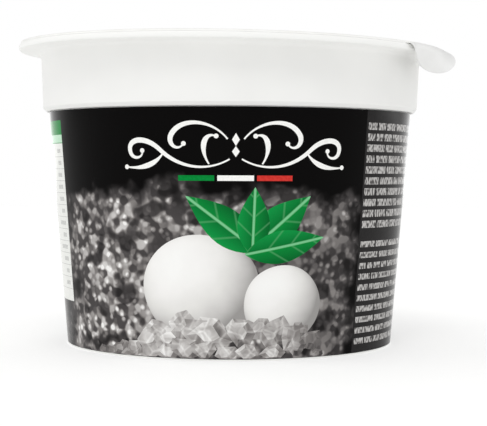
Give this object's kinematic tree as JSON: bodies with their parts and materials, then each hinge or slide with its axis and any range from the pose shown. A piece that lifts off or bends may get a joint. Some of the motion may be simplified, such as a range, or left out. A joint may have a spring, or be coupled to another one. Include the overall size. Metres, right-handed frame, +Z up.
{
  "type": "sealed dairy cup",
  "caption": "Shut tapered plastic cup for fresh cheese, with a printed sleeve, a stacking collar, a wide sealing flange and a peel film lid with a bent pull tab.",
  "frame": {"origin": "centre of the flat base, on the cup's axis", "axes": "+Z up the cup's axis, the front of the print faces -Y, the pull tab hangs at the right front, between -Y and +X"},
  "size_m": [0.0972, 0.095, 0.0669],
  "materials": {
    "white_polypropylene": "satin, injection moulded",
    "printed_label": "satin print, moulded into the wall",
    "lid_film": "white peel film, heat sealed"
  },
  "bodies": {
    "root": {"cup": "white_polypropylene", "label": "printed_label", "lid": "lid_film"}
  },
  "joints": []
}
